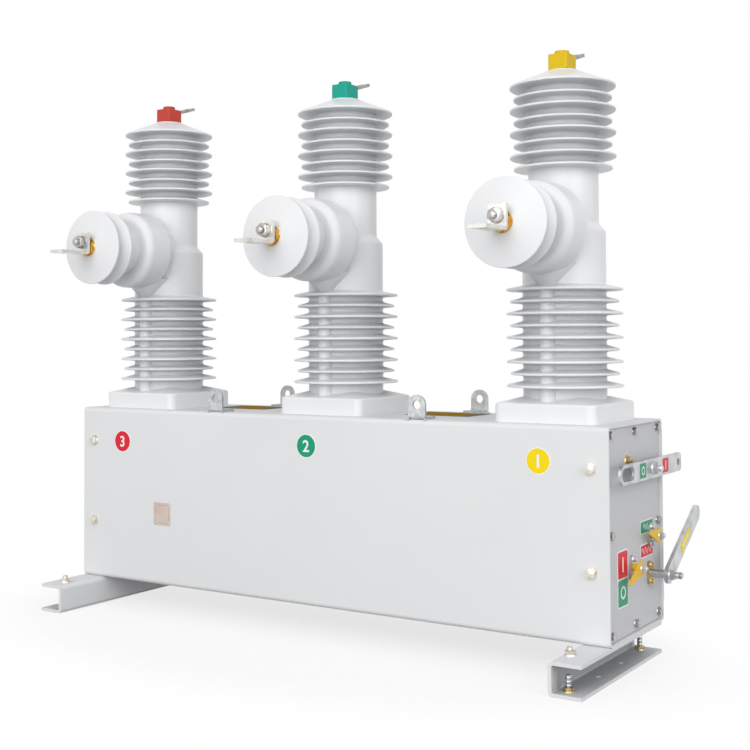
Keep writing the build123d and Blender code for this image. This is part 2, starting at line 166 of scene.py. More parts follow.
tank_coat = powder_coat("powder_coat_light_grey", "#DADBDC", "#E2E3E4", 0.5)
plate_coat = powder_coat("powder_coat_mid_grey", "#C4C5C8", "#CBCCCF", 0.45)
# the feet get painted shade, a darker grey, inside their channels
foot_coat = powder_coat("powder_coat_pale_grey", "#D8D9DB", "#E0E1E3", 0.5, painted_shade_hue="#A0A2A5")
print("painted steel:", tank_coat.name, plate_coat.name, foot_coat.name)

# %% [markdown]
# ## Cast epoxy
#
# Each pole is cycloaliphatic epoxy cast round the interrupter in a polished mould. It comes out pale
# grey with a soft gloss, very slightly cloudy from the filler, and a little duller in patches where the
# mould release dried. Two noises of different size do that. The gaps between the sheds get painted
# shade, a greyer colour, and as they are narrow it reaches 30 mm only.

# %% Epoxy
FILLER_MM = 45
BLOOM_MM = 16
# how far the painted shade between the sheds reaches
SHED_SHADE_MM = 30


def cast_epoxy(name, shade, light, painted_shade_hue):
    """Pale cast resin with a soft gloss, and painted shade where it is closed in."""
    material, tree, place = blank_material(name)
    filler = add(tree, "ShaderNodeTexNoise", {"Vector": place, "Scale": per_metre(FILLER_MM), "Detail": 4.0})
    unshaded_tint = add(tree, "ShaderNodeMix", {0: filler, 6: linear(shade), 7: linear(light)}, data_type="RGBA")
    # painted shade in the gaps between the sheds
    tint = painted_corner_shade(tree, unshaded_tint, painted_shade_hue, SHED_SHADE_MM)
    bloom = add(tree, "ShaderNodeTexNoise", {"Vector": place, "Scale": per_metre(BLOOM_MM), "Detail": 2.0})
    gloss = add(tree, "ShaderNodeMapRange", {0: bloom, 1: 0.3, 2: 0.7, 3: 0.31, 4: 0.34})
    surface = add(tree, "ShaderNodeBsdfPrincipled", {
        "Base Color": tint.outputs[2],
        "Roughness": gloss,
        "IOR": 1.52,
        "Specular IOR Level": 0.4,
    })
    add(tree, "ShaderNodeOutputMaterial", {"Surface": surface})
    return material


# the last colour is the painted shade between the sheds
epoxy = cast_epoxy("cast_epoxy_pale_grey", "#E0E1E3", "#E7E8EA", painted_shade_hue="#D0D3D5")
print("resin:", epoxy.name)

# %% [markdown]
# ## Plated and bare metal
#
# Small parts are plated: bright zinc on the levers, yellow or pale passivated zinc on the flanges and
# some bolts, tin on the copper terminals, and plain brass on the studs. Plating is thin and uneven, so
# each metal is a cloud of two or three hues a few millimetres to centimetres wide, with fine rubbing
# marks that change its roughness and dent it a little. Metals keep the default IOR.

# %% Metals
RUB_MM = 1.5
HUE_START, HUE_SPAN = 0.32, 0.36  # most of a noise's values lie in this range


def plated_metal(name, hues, roughness, cloud_mm, rub_stretch=(1.0, 1.0, 1.0)):
    """Metal with a thin uneven plating: hues run from the cloud's low places to its high ones."""
    material, tree, place = blank_material(name)
    cloud = add(tree, "ShaderNodeTexNoise", {"Vector": place, "Scale": per_metre(cloud_mm), "Detail": 3.0})
    ramp = add(tree, "ShaderNodeValToRGB", {"Fac": cloud})
    stops = ramp.color_ramp.elements
    while len(stops) < len(hues):
        stops.new(0.5)
    for i, hue in enumerate(hues):
        stops[i].position = HUE_START + HUE_SPAN * i / (len(hues) - 1)
        stops[i].color = linear(hue)
    drawn = add(tree, "ShaderNodeMapping", {"Vector": place, "Scale": rub_stretch})
    rub = add(tree, "ShaderNodeTexNoise", {"Vector": drawn, "Scale": per_metre(RUB_MM)})
    dull = add(tree, "ShaderNodeMapRange", {0: rub, 3: roughness - 0.08, 4: roughness + 0.1})
    bump = add(tree, "ShaderNodeBump", {"Strength": 0.08, "Distance": 0.1 * MM, "Height": rub})
    surface = add(tree, "ShaderNodeBsdfPrincipled", {
        "Base Color": ramp,
        "Metallic": 1.0,
        "Roughness": dull,
        "Normal": bump,
    })
    add(tree, "ShaderNodeOutputMaterial", {"Surface": surface})
    return material


zinc = plated_metal("bright_zinc_plated_steel", ["#AEB1B3", "#C4C6C8", "#D2D3D4"], 0.32, 22)
stainless = plated_metal("stainless_steel", ["#A9A8A6", "#C2C1BF"], 0.26, 15)
yellow_zinc = plated_metal("yellow_passivated_zinc", ["#B59A63", "#CDB784", "#C6BA9A"], 0.3, 9)
brass = plated_metal("turned_brass", ["#B98A3C", "#D6AE5C"], 0.25, 12)
tin = plated_metal("tinned_copper", ["#D3D0C9", "#E2E0DB", "#E9E8E5"], 0.3, 18)
# painted shade: a darker copy of the side terminals' tin, for the top terminals seen from below
tin_painted_shade = plated_metal("tinned_copper_painted_shade", ["#8E8C87", "#A3A19C", "#B5B3AE"], 0.36, 12)
lug_zinc = plated_metal("dull_galvanised_steel", ["#B0B3B5", "#C0C3C4", "#CDCFD0"], 0.5, 6)
pale_zinc = plated_metal("pale_passivated_zinc", ["#CCC3B4", "#DCD6CC", "#E6E3DE"], 0.3, 8)
etched = plated_metal("etched_aluminium_plate", ["#C6B3A9", "#D4C4BB"], 0.42, 30, (1.0, 1.0, 0.05))
metals = (zinc, stainless, yellow_zinc, brass, tin, tin_painted_shade, lug_zinc, pale_zinc, etched)
print("metals:", [metal.name for metal in metals])

# %% [markdown]
# ## Rubber caps, enamel and printed film
#
# The phase caps are moulded silicone rubber in the three phase colours, matt and with a skin of dust.
# The pointers are stove-enamelled. The labels are printed vinyl film, which has a low sheen and a faint
# drag from the screen, and two old films on the tank's top have gone blotchy and quite matt. One
# function serves them all, because each is a plain colour with a grain of its own size, gloss and depth.

# %% Coloured finishes
def coloured(name, shade, light, roughness, grain_mm, depth_mm, sheen=0.0, specular=0.3):
    """A coloured finish with a fine grain: rubber, enamel or printed film."""
    material, tree, place = blank_material(name)
    grain = add(tree, "ShaderNodeTexNoise", {"Vector": place, "Scale": per_metre(grain_mm), "Detail": 3.0})
    tint = add(tree, "ShaderNodeMix", {0: grain, 6: linear(shade), 7: linear(light)}, data_type="RGBA")
    bump = add(tree, "ShaderNodeBump", {"Strength": 0.25, "Distance": depth_mm * MM, "Height": grain})
    gloss = add(tree, "ShaderNodeMapRange", {0: grain, 3: roughness - 0.06, 4: roughness + 0.08})
    surface = add(tree, "ShaderNodeBsdfPrincipled", {
        "Base Color": tint.outputs[2],
        "Roughness": gloss,
        "Normal": bump,
        "IOR": 1.45,
        "Specular IOR Level": specular,
        "Sheen Weight": sheen,
    })
    add(tree, "ShaderNodeOutputMaterial", {"Surface": surface})
    return material


RUBBER = {"roughness": 0.5, "grain_mm": 4, "depth_mm": 0.2, "sheen": 0.03}
FILM = {"roughness": 0.36, "grain_mm": 2.5, "depth_mm": 0.05}
OLD_FILM = {"roughness": 0.8, "grain_mm": 14, "depth_mm": 0.05, "specular": 0.0}
cap_rubber = {
    "left": coloured("silicone_rubber_red", "#B53B2E", "#C1473A", **RUBBER),
    "middle": coloured("silicone_rubber_green", "#0B9480", "#15A38F", **RUBBER),
    "right": coloured("silicone_rubber_yellow", "#CDAB00", "#D8B904", **RUBBER),
}
enamel = coloured("stove_enamel_yellow", "#E0B41A", "#EFC52C", 0.3, 6, 0.08)
white_film = coloured("vinyl_film_white", "#E9EAEA", "#F2F2F2", **FILM)
red_film = coloured("vinyl_film_red", "#D2182A", "#DE2232", **FILM)
green_film = coloured("vinyl_film_green", "#0C8F68", "#159C74", **FILM)
yellow_film = coloured("vinyl_film_yellow", "#EBCF00", "#F3D90E", **FILM)
ochre_film = coloured("weathered_film_ochre", "#96701A", "#B8902C", **OLD_FILM)
grey_film = coloured("weathered_film_grey", "#7C7B77", "#8B8A86", **OLD_FILM)
films = (white_film, red_film, green_film, yellow_film, ochre_film, grey_film)
print("coloured finishes:", [finish.name for finish in (*cap_rubber.values(), enamel, *films)])

# %% [markdown]
# ## Put the finishes on the CAD nodes
#
# A node keeps its mesh, and only its material slots change. The nodes are listed here by piece.

# %% Finish each node
PHASES = ("left", "middle", "right")
LUGS = ("left_front_lug", "left_rear_lug", "right_front_lug", "right_rear_lug")
finish_of = {
    "tank_shell": tank_coat,
    "rear_cover": tank_coat,
    "left_end_plate": plate_coat,
    "right_end_plate": plate_coat,
    "left_foot_channel": foot_coat,
    "right_foot_channel": foot_coat,
    "lever_shaft": zinc,
    "operating_lever": zinc,
    "handle_shaft": zinc,
    "charging_handle": zinc,
    "handle_bearing": yellow_zinc,
    "position_bearing": zinc,
    "spring_bearing": zinc,
    "position_pointer": enamel,
    "spring_pointer": enamel,
}
for phase in PHASES:
    finish_of[phase + "_pole"] = epoxy
    # the top terminals take the darker tin, which is painted shade
    finish_of[phase + "_top_terminal"] = tin_painted_shade
    finish_of[phase + "_phase_cap"] = cap_rubber[phase]
    finish_of[phase + "_side_stud"] = brass
    finish_of[phase + "_side_terminal"] = tin
for lug in LUGS:
    finish_of[lug] = lug_zinc

for name, finish in finish_of.items():
    for material_slot in nodes[name].material_slots:
        material_slot.material = finish
print("nodes finished:", len(finish_of), "of", len(nodes))

# %% [markdown]
# ## Hex bolts, by a Geometry Nodes tree
#
# Some sixty bolts and nuts hold the covers, the bearings and the terminals. Modelling one and copying
# it by hand would work, but then a change of size means sixty changes. A tree does it once. A real head
# is a hexagonal bar with its end turned to a cone, so the tree cuts a six-sided prism with a cone, which
# leaves the curved edges of a true chamfer. It is made one unit wide and high, and then scaled to the
# size that comes in, on a washer. The last step sets one on every seat, turned along the seat's own
# axis. A random turn about that axis, with a fixed seed, keeps the flats from all lining up.

# %% The hex bolt tree
CORNER = 3**-0.5  # corner radius of a hexagon one unit across its flats
CHAMFER_TOP, CHAMFER_BASE = 0.39, 1.47  # end radii of the chamfering cone
CHAMFER_DEPTH, CHAMFER_FOOT = 1.3, -0.2  # it starts below the head and ends above it


def fastener_tree(name, size_names):
    """An empty tree with seats coming in, a finish, and one named input for each size."""
    tree = bpy.data.node_groups.new(name, "GeometryNodeTree")
    tree.interface.new_socket("Seats", in_out="INPUT", socket_type="NodeSocketGeometry")
    for size_name in size_names:
        tree.interface.new_socket(size_name, in_out="INPUT", socket_type="NodeSocketFloat")
    tree.interface.new_socket("Finish", in_out="INPUT", socket_type="NodeSocketMaterial")
    tree.interface.new_socket("Fasteners", in_out="OUTPUT", socket_type="NodeSocketGeometry")
    return tree, add(tree, "NodeGroupInput").outputs


def seat_and_finish(tree, given, parts, seed):
    """Join the parts, set one on each seat along its axis, and end in plain mesh with its finish."""
    one = add(tree, "GeometryNodeJoinGeometry", {0: parts})
    axis = add(tree, "GeometryNodeInputNamedAttribute", {"Name": "axis"}, data_type="FLOAT_VECTOR")
    along = add(tree, "FunctionNodeAlignRotationToVector", {"Vector": axis}, axis="Z")
    turn = add(tree, "FunctionNodeRandomValue", {2: 0.0, 3: 2 * math.pi, "Seed": seed}, data_type="FLOAT")
    spin = add(tree, "FunctionNodeAxisAngleToRotation", {"Axis": (0, 0, 1), "Angle": turn.outputs[1]})
    aimed = add(tree, "FunctionNodeRotateRotation", {0: along, 1: spin}, rotation_space="LOCAL")
    placed = add(tree, "GeometryNodeInstanceOnPoints", {
        "Points": given["Seats"],
        "Instance": one,
        "Rotation": aimed,
    })
    solid = add(tree, "GeometryNodeRealizeInstances", {0: placed})
    done = add(tree, "GeometryNodeSetMaterial", {"Geometry": solid, "Material": given["Finish"]})
    add(tree, "NodeGroupOutput", {0: done})


bolt_tree, given = fastener_tree("hex_bolt", (
    "Across flats", "Head height", "Washer diameter", "Washer thickness",
))
ring = add(bolt_tree, "GeometryNodeMeshCone", {
    "Vertices": 28, "Radius Top": 0.47, "Radius Bottom": 0.5, "Depth": 1.0,
})
ring_size = add(bolt_tree, "ShaderNodeCombineXYZ", {
    "X": given["Washer diameter"], "Y": given["Washer diameter"], "Z": given["Washer thickness"],
})
washer = add(bolt_tree, "GeometryNodeTransform", {"Geometry": ring, "Scale": ring_size})
bar = add(bolt_tree, "GeometryNodeMeshCone", {
    "Vertices": 6, "Radius Top": CORNER, "Radius Bottom": CORNER, "Depth": 1.0,
})
cone = add(bolt_tree, "GeometryNodeMeshCone", {
    "Vertices": 48, "Radius Top": CHAMFER_TOP, "Radius Bottom": CHAMFER_BASE, "Depth": CHAMFER_DEPTH,
})
tool = add(bolt_tree, "GeometryNodeTransform", {"Geometry": cone, "Translation": (0, 0, CHAMFER_FOOT)})
turned = add(bolt_tree, "GeometryNodeMeshBoolean", {
    "Mesh 2": [bar, tool],
}, operation="INTERSECT", solver="EXACT")
head_size = add(bolt_tree, "ShaderNodeCombineXYZ", {
    "X": given["Across flats"], "Y": given["Across flats"], "Z": given["Head height"],
})
head_foot = add(bolt_tree, "ShaderNodeCombineXYZ", {"Z": given["Washer thickness"]})
head = add(bolt_tree, "GeometryNodeTransform", {
    "Geometry": turned, "Scale": head_size, "Translation": head_foot,
})
seat_and_finish(bolt_tree, given, [washer, head], seed=7)
print("tree:", bolt_tree.name, "with", len(bolt_tree.nodes), "nodes")

# %% [markdown]
# ## Threaded studs
#
# The handle's spindle, the pointers' hubs, the terminals and the foot fixings end in a threaded stud,
# and the hex bolt tree gives the nut on it. A thread is rolled as one helix, so the second tree sweeps a
# small square section, set on its corner, along a spiral round a plain core. The end is domed.

# %% The stud tree
stud_tree, given = fastener_tree("threaded_stud", (
    "Core diameter", "Stud length", "Thread pitch", "Thread depth",
))
stud_size = add(stud_tree, "ShaderNodeCombineXYZ", {
    "X": given["Core diameter"], "Y": given["Core diameter"], "Z": given["Stud length"],
})
core = add(stud_tree, "GeometryNodeMeshCone", {
    "Vertices": 24, "Radius Top": 0.5, "Radius Bottom": 0.5, "Depth": 1.0,
})
rod = add(stud_tree, "GeometryNodeTransform", {"Geometry": core, "Scale": stud_size})
ball = add(stud_tree, "GeometryNodeMeshUVSphere", {"Segments": 24, "Rings": 10, "Radius": 0.5})
low_ball = add(stud_tree, "GeometryNodeTransform", {"Geometry": ball, "Scale": (1.0, 1.0, 0.25)})
tip = add(stud_tree, "ShaderNodeCombineXYZ", {"Z": given["Stud length"]})
dome = add(stud_tree, "GeometryNodeTransform", {
    "Geometry": low_ball, "Scale": given["Core diameter"], "Translation": tip,
})
turns = add(stud_tree, "ShaderNodeMath", {
    0: given["Stud length"], 1: given["Thread pitch"],
}, operation="DIVIDE")
helix = add(stud_tree, "GeometryNodeCurveSpiral", {
    "Resolution": 18, "Rotations": turns, "Start Radius": 0.5, "End Radius": 0.5, "Height": 1.0,
})
path = add(stud_tree, "GeometryNodeTransform", {"Geometry": helix, "Scale": stud_size})
section = add(stud_tree, "GeometryNodeCurvePrimitiveCircle", {
    "Resolution": 4, "Radius": given["Thread depth"],
})
thread = add(stud_tree, "GeometryNodeCurveToMesh", {
    "Curve": path, "Profile Curve": section, "Fill Caps": True,
})
seat_and_finish(stud_tree, given, [rod, dome, thread], seed=11)
print("tree:", stud_tree.name, "with", len(stud_tree.nodes), "nodes")

# %% [markdown]
# ## Setting the fasteners
#
# The next functions run a tree on a list of seats. The seats are the points of a small mesh, and each
# carries its axis as an attribute. The evaluated result is kept as a plain mesh, the modifier goes
# with its holder, and the piece is told which body it rides on. Flat faces stay flat and round ones
# are smoothed by angle.

# %% Run a tree on seats
SMOOTH_ANGLE = math.radians(32)


def keep(name, mesh, body):
    """Make a finished mesh an object of the scene that rides on a body."""
    mesh.shade_smooth()
    mesh.set_sharp_from_angle(angle=SMOOTH_ANGLE)
    piece = bpy.data.objects.new(name, mesh)
    scene.collection.objects.link(piece)
    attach(piece, body)


def run_tree(name, tree, holder_mesh, sizes_mm, finish):
    """Evaluate a tree on a holder's mesh and return the plain mesh that comes out."""
    holder = bpy.data.objects.new(name + "_holder", holder_mesh)
    scene.collection.objects.link(holder)
    modifier = holder.modifiers.new("fasteners", "NODES")
    modifier.node_group = tree
    for socket in tree.interface.items_tree:
        if socket.name in sizes_mm:
            modifier[socket.identifier] = sizes_mm[socket.name] * MM
        elif socket.name == "Finish":
            modifier[socket.identifier] = finish
    evaluated = holder.evaluated_get(bpy.context.evaluated_depsgraph_get())
    mesh = bpy.data.meshes.new_from_object(evaluated)
    bpy.data.objects.remove(holder)
    bpy.data.meshes.remove(holder_mesh)
    mesh.name = name
    return mesh


def fasten(name, tree, seats, sizes_mm, finish, body):
    """Set a tree's fasteners on (point, axis) seats and keep them as one plain mesh."""
    points = bpy.data.meshes.new(name + "_seats")
    points.from_pydata([point for point, axis in seats], [], [])
    axes = points.attributes.new("axis", "FLOAT_VECTOR", "POINT")
    axes.data.foreach_set("vector", [c for point, axis in seats for c in axis])
    mesh = run_tree(name, tree, points, sizes_mm, finish)
    print(name, "on", body, "-", len(seats), "seats,", len(mesh.polygons), "faces")
    keep(name, mesh, body)


def cut_to(stud, length_mm):
    """The sizes of a stud that is cut to a length."""
    return {**stud, "Stud length": length_mm}


M6 = {"Across flats": 10, "Head height": 4.0, "Washer diameter": 12, "Washer thickness": 1.4}
M8 = {"Across flats": 13, "Head height": 5.5, "Washer diameter": 17, "Washer thickness": 1.6}
M10 = {"Across flats": 16, "Head height": 6.5, "Washer diameter": 20, "Washer thickness": 2.0}
M12 = {"Across flats": 18, "Head height": 8.0, "Washer diameter": 22, "Washer thickness": 2.2}
M6_STUD = {"Core diameter": 5.0, "Thread pitch": 1.0, "Thread depth": 0.5}
M8_STUD = {"Core diameter": 6.8, "Thread pitch": 1.25, "Thread depth": 0.6}
M10_STUD = {"Core diameter": 8.6, "Thread pitch": 1.5, "Thread depth": 0.7}
M12_STUD = {"Core diameter": 10.2, "Thread pitch": 1.75, "Thread depth": 0.8}
print("bolt and stud sizes: M6, M8, M10, M12")

# %% [markdown]
# ## Bolts of the tank
#
# Both end plates sit in the tank's mouth on eight M6 bolts: three along the top, three along the
# bottom and one half-way down each side. Four larger bolts through the front hold the mechanism's
# frame inside. The rear cover is not seen in the picture, and gets what such a cover needs: a row of
# M6 bolts round its rim.

# %% Tank bolts
tank_low, tank_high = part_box("tank_shell")
plate_low, plate_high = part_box("right_end_plate")
cover_low, cover_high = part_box("rear_cover")
tank_mid = (tank_low + tank_high) / 2
front, back = Vector((0, -1, 0)), Vector((0, 1, 0))
outward, up = Vector((1, 0, 0)), Vector((0, 0, 1))


def on_front(across_mm, rise_mm):
    """A point of the tank's front, by its X and its height above the tank's underside."""
    return Vector((across_mm * MM, tank_low.y, tank_low.z + rise_mm * MM))


BOLT_INSET, BOTTOM_INSET = 8 * MM, 10 * MM
row_y = (plate_low.y + BOLT_INSET, tank_mid.y, plate_high.y - BOLT_INSET)
row_z = (plate_low.z + BOTTOM_INSET, tank_mid.z, plate_high.z - BOLT_INSET)
rim = [(y, z) for y in row_y for z in row_z if (y, z) != (row_y[1], row_z[1])]
end_seats = [(Vector((side * plate_high.x, y, z)), side * outward) for side in (-1, 1) for y, z in rim]
fasten("end_plate_bolts", bolt_tree, end_seats, M6, stainless, "breaker")

FRONT_BOLT_ACROSS, FRONT_BOLT_RISES = 460, (96.5, 234)
front_seats = [
    (on_front(side * FRONT_BOLT_ACROSS, rise), front)
    for side in (-1, 1)
    for rise in FRONT_BOLT_RISES
]
fasten("front_bolts", bolt_tree, front_seats, M8, pale_zinc, "breaker")

COVER_INSET, COVER_COLUMNS = 14 * MM, 6
cover_step = (cover_high.x - cover_low.x - 2 * COVER_INSET) / (COVER_COLUMNS - 1)
cover_x = [cover_low.x + COVER_INSET + i * cover_step for i in range(COVER_COLUMNS)]
cover_rim = [(x, z) for x in cover_x for z in (cover_low.z + COVER_INSET, cover_high.z - COVER_INSET)]
cover_rim += [(x, (cover_low.z + cover_high.z) / 2) for x in (cover_x[0], cover_x[-1])]
cover_seats = [(Vector((x, cover_high.y, z)), back) for x, z in cover_rim]
fasten("rear_cover_bolts", bolt_tree, cover_seats, M6, stainless, "breaker")

# %% [markdown]
# ## Bolts and studs of the mechanism end
#
# Every moving part on the end plate is held on its own spindle. The bearing flanges have a bolt above
# and a bolt below. The lever has a nut on the end of its shaft, the handle has a nut on a long stud with
# a rounded end, and each pointer has a nut on its hub. An earthing bolt stands on the plate behind the
# lever, low enough for the lever to pass over it. What turns with a lever rides on that lever's body.

# %% Mechanism fasteners
def spindle(node):
    """The axis point of a shaft or bearing, at the highest X of its node."""
    low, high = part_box(node)
    return Vector((high.x, (low.y + high.y) / 2, (low.z + high.z) / 2))


FLANGE_BOLT = {"Across flats": 7, "Head height": 3.2, "Washer diameter": 9, "Washer thickness": 0.8}
FLANGE_BOLT_RISE = 11.5 * MM
for bearing, metal in (("handle", yellow_zinc), ("position", zinc), ("spring", zinc)):
    middle = spindle(bearing + "_bearing")
    seats = [(middle + way * FLANGE_BOLT_RISE * up, outward) for way in (-1, 1)]
    fasten(bearing + "_bearing_bolts", bolt_tree, seats, FLANGE_BOLT, metal, "breaker")

pivot = spindle("lever_shaft")
pivot.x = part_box("operating_lever")[1].x
fasten("lever_pivot_nut", bolt_tree, [(pivot, outward)], M10, zinc, "lever")
fasten("lever_pivot_stud", stud_tree, [(pivot, outward)], cut_to(M10_STUD, 12), zinc, "lever")

hub = spindle("handle_shaft")
hub.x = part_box("charging_handle")[1].x
fasten("handle_nut", bolt_tree, [(hub, outward)], M8, zinc, "handle")
fasten("handle_stud", stud_tree, [(hub, outward)], cut_to(M10_STUD, 17), zinc, "handle")

for pointer in ("position", "spring"):
    centre = spindle(pointer + "_bearing")
    centre.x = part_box(pointer + "_pointer")[1].x
    seats, body = [(centre, outward)], pointer + "_indicator"
    fasten(pointer + "_pointer_nut", bolt_tree, seats, M6, zinc, body)
    fasten(pointer + "_pointer_stud", stud_tree, seats, cut_to(M6_STUD, 7.5), zinc, body)

EARTH_SETBACK, EARTH_RISE = 73.5 * MM, 239 * MM
earth = [(Vector((plate_high.x, tank_low.y + EARTH_SETBACK, tank_low.z + EARTH_RISE)), outward)]
fasten("end_plate_earth_bolt", bolt_tree, earth, M8, yellow_zinc, "breaker")

# %% [markdown]
# ## Fasteners of the terminals and the feet
#
# Each side terminal is a tinned angle on a large nut and stud, with a brass lock nut behind it on the
# bushing's face. Each foot has an earthing bolt on its top flange and a fixing stud near either end of
# its lower flange, while the two holes between stay free.

# %% Terminal and foot fasteners
LEG_THICKNESS = 5 * MM
LOCK_NUT = {"Across flats": 26, "Head height": 6.0, "Washer diameter": 31, "Washer thickness": 2.0}
terminal_seats, lock_seats = [], []
for phase in PHASES:
    stud_low, stud_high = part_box(phase + "_side_stud")
    leg_low, leg_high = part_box(phase + "_side_terminal")
    middle = (stud_low + stud_high) / 2
    leg_middle = (leg_low.z + LEG_THICKNESS + leg_high.z) / 2
    terminal_seats.append((Vector((middle.x, leg_high.y - LEG_THICKNESS, leg_middle)), front))
    lock_seats.append((Vector((middle.x, stud_high.y, middle.z)), front))
fasten("side_terminal_nuts", bolt_tree, terminal_seats, M12, stainless, "breaker")
terminal_stud = cut_to(M12_STUD, 16)
fasten("side_terminal_studs", stud_tree, terminal_seats, terminal_stud, stainless, "breaker")
fasten("side_lock_nuts", bolt_tree, lock_seats, LOCK_NUT, brass, "breaker")

foot_low, foot_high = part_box("right_foot_channel")
FOOT_NUT = {"Across flats": 12, "Head height": 4.5, "Washer diameter": 14.5, "Washer thickness": 1.2}
FOOT_WALL, STUD_IN, STUD_FROM_END = 5 * MM, 20 * MM, 19 * MM
FOOT_EARTH = {-1: (22 * MM, 30 * MM), 1: (13 * MM, 40 * MM)}  # from the web, and from the front end
foot_studs, foot_earths = [], []
for side in (-1, 1):
    for way in (-1, 1):
        at = (side * (foot_low.x + STUD_IN), way * (foot_high.y - STUD_FROM_END), foot_low.z + FOOT_WALL)
        foot_studs.append((Vector(at), up))
    earth_in, from_end = FOOT_EARTH[side]
    foot_earths.append((Vector((side * (foot_low.x + earth_in), foot_low.y + from_end, foot_high.z)), up))
fasten("foot_stud_nuts", bolt_tree, foot_studs, FOOT_NUT, yellow_zinc, "breaker")
fasten("foot_studs", stud_tree, foot_studs, cut_to(M8_STUD, 21), zinc, "breaker")
fasten("foot_earth_nuts", bolt_tree, foot_earths, M8, pale_zinc, "breaker")
fasten("foot_earth_studs", stud_tree, foot_earths, cut_to(M8_STUD, 11), pale_zinc, "breaker")

# %% [markdown]
# ## Weld beads round the lifting lugs
#
# The four lugs are welded to the tank's top round three sides of their feet. A weld bead is a row of
# overlapping ripples, so the next tree lays flattened beads along a path. The path is the foot's
# outline, read from the lug's box, and each bead is turned and sized a little at random, with a fixed
# seed.

# %% The weld tree
WELD = {"Bead spacing": 1.9, "Bead radius": 2.1}
LEAN = 0.25  # the most that a bead is turned about each axis, in radians
SLIM, STOUT = (0.9, 0.85, 0.7), (1.15, 1.1, 0.9)  # the least and the most that a bead is stretched
weld_tree, given = fastener_tree("weld_bead", WELD)
line = add(weld_tree, "GeometryNodeMeshToCurve", {"Mesh": given["Seats"]})
spots = add(weld_tree, "GeometryNodeCurveToPoints", {
    "Curve": line, "Length": given["Bead spacing"],
}, mode="LENGTH")
drop = add(weld_tree, "GeometryNodeMeshUVSphere", {
    "Segments": 10, "Rings": 6, "Radius": given["Bead radius"],
})
lean = add(weld_tree, "FunctionNodeRandomValue", {
    0: (-LEAN, -LEAN, -LEAN), 1: (LEAN, LEAN, LEAN), "Seed": 3,
}, data_type="FLOAT_VECTOR")
girth = add(weld_tree, "FunctionNodeRandomValue", {
    0: SLIM, 1: STOUT, "Seed": 5,
}, data_type="FLOAT_VECTOR")
beads = add(weld_tree, "GeometryNodeInstanceOnPoints", {
    "Points": spots, "Instance": drop, "Rotation": lean, "Scale": girth,
})
solid = add(weld_tree, "GeometryNodeRealizeInstances", {0: beads})
done = add(weld_tree, "GeometryNodeSetMaterial", {"Geometry": solid, "Material": given["Finish"]})
add(weld_tree, "NodeGroupOutput", {0: done})

weld_points, weld_edges = [], []
for lug in LUGS:
    low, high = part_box(lug)
    inner, outer = (high.y, low.y) if "front" in lug else (low.y, high.y)
    first = len(weld_points)
    corners = ((low.x, outer), (low.x, inner), (high.x, inner), (high.x, outer))
    weld_points += [(x, y, low.z) for x, y in corners]
    weld_edges += [(first + i, first + i + 1) for i in range(3)]
weld_path = bpy.data.meshes.new("weld_path")
weld_path.from_pydata(weld_points, weld_edges, [])
welds = run_tree("lug_welds", weld_tree, weld_path, WELD, lug_zinc)
keep("lug_welds", welds, "breaker")
print("weld beads:", len(welds.polygons), "faces on", len(weld_edges), "runs")

# %% [markdown]
# ## Labels, discs and plates
#
# A printed label is film with real thickness, so its edge catches the light. Each label here is a
# stack of thin prisms: a white backing, a coloured panel and a white mark, each a tenth of a
# millimetre higher than the last. An outline is a list of points in the label's own plane, and a seat
# turns that plane to the face that carries the label. A ring is drawn with two outlines. The marks
# are generic: a bar and a ring for on and off, a tight and a loose zigzag for the spring, an arrow
# and plain numerals.

# %% Label helpers
FILM_MM = 0.35
LAYER_MM = 0.12
NUMERAL_WEIGHT_MM = 0.45  # how much each edge of the plain font is moved out, for a bold face
FIGURE_SHARE = 0.7  # of the font's size that a numeral is high


def seat_on(origin, right, upright):
    """A label's plane: its own x runs to the right, its own y runs up, and z stands off the face."""
    right, upright = Vector(right).normalized(), Vector(upright).normalized()
    turned = Matrix((right, upright, right.cross(upright))).transposed().to_4x4()
    turned.translation = Vector(origin)
    return turned


def rounded(width, height, radius, at=(0, 0), steps=6):
    """The outline of a rounded rectangle, in millimetres."""
    points = []
    for quarter, (sx, sy) in enumerate(((1, 1), (-1, 1), (-1, -1), (1, -1))):
        cx, cy = sx * (width / 2 - radius), sy * (height / 2 - radius)
        for i in range(steps + 1):
            angle = math.pi / 2 * (quarter + i / steps)
            points.append((at[0] + cx + radius * math.cos(angle), at[1] + cy + radius * math.sin(angle)))
    return points


def circle(radius, at=(0, 0), steps=48):
    """The outline of a circle, in millimetres."""
    angles = [i * 2 * math.pi / steps for i in range(steps)]
    return [(at[0] + radius * math.cos(a), at[1] + radius * math.sin(a)) for a in angles]


def ribbon(path, width):
    """The outline of a stroke of even width along a path, in millimetres."""
    path = [Vector(p) for p in path]
    left, right = [], []
    for i, point in enumerate(path):
        before, after = path[max(i - 1, 0)], path[min(i + 1, len(path) - 1)]
        along = (after - before).normalized()
        side = Vector((-along.y, along.x)) * width / 2
        left.append(tuple(point + side))
        right.append(tuple(point - side))
    return right + left[::-1]


def prism(work, outlines, seat, low, high, index):
    """A flat prism, or a ring where a second outline gives the hole, between two heights."""
    ends = []
    for height in (low, high):
        ends.append([[work.verts.new(seat @ Vector((x * MM, y * MM, height * MM))) for x, y in outline]
                     for outline in outlines])
    count = len(outlines[0])
    steps = [(i, (i + 1) % count) for i in range(count)]
    faces = []
    for lower, upper in zip(*ends):
        faces += [[lower[i], lower[j], upper[j], upper[i]] for i, j in steps]
    for end in ends:
        if len(outlines) == 1:
            faces.append(end[0])
        else:
            faces += [[end[0][i], end[0][j], end[1][j], end[1][i]] for i, j in steps]
    for corners in faces:
        work.faces.new(corners).material_index = index


